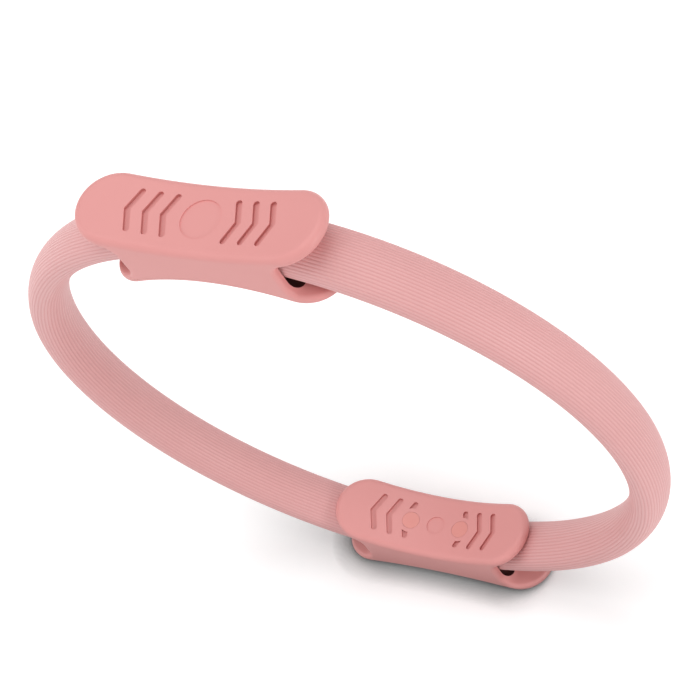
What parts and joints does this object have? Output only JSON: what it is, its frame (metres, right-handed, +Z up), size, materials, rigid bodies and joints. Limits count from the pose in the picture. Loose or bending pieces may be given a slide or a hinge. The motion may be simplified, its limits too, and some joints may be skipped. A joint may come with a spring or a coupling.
{
  "type": "pilates ring",
  "caption": "Springy exercise ring with hollowed palm grips on opposite sides and ribbed foam sleeves over its bows, squeezed between the hands or the legs.",
  "frame": {"origin": "middle of the footprint, where the lower grip's outer palm face touches the ground", "axes": "+Z up from the lower grip to the upper grip, Y along the ring's axis, X across the two bows"},
  "size_m": [0.3656, 0.041, 0.3781],
  "materials": {
    "grip_plastic": "fine matte, moulded",
    "plug_plastic": "smooth matte",
    "sleeve_foam": "matte closed-cell foam with fine ribs along its length",
    "band_glass_fibre": "pultruded strip, satin",
    "screw_steel": "zinc plated"
  },
  "bodies": {
    "ring_and_lower_grip": {"lower_grip_shell": "grip_plastic", "lower_grip_cover": "grip_plastic", "lower_grip_screws": "screw_steel", "lower_left_screw_plug": "plug_plastic", "lower_right_screw_plug": "plug_plastic", "left_foam_sleeve": "sleeve_foam", "right_foam_sleeve": "sleeve_foam", "left_outer_spring_band": "band_glass_fibre", "left_inner_spring_band": "band_glass_fibre", "right_outer_spring_band": "band_glass_fibre", "right_inner_spring_band": "band_glass_fibre"},
    "upper_grip": {"upper_grip_shell": "grip_plastic", "upper_grip_cover": "grip_plastic", "upper_grip_screws": "screw_steel", "upper_left_screw_plug": "plug_plastic", "upper_right_screw_plug": "plug_plastic"}
  },
  "joints": [
    {"name": "ring_squeeze", "type": "slide", "parent": "ring_and_lower_grip", "child": "upper_grip", "axis": [0, 0, 1], "range_m": [-0.06, 0.015], "stiffness_N_per_m": 1600, "deforming": ["left_foam_sleeve", "right_foam_sleeve", "left_outer_spring_band", "left_inner_spring_band", "right_outer_spring_band", "right_inner_spring_band"]}
  ]
}
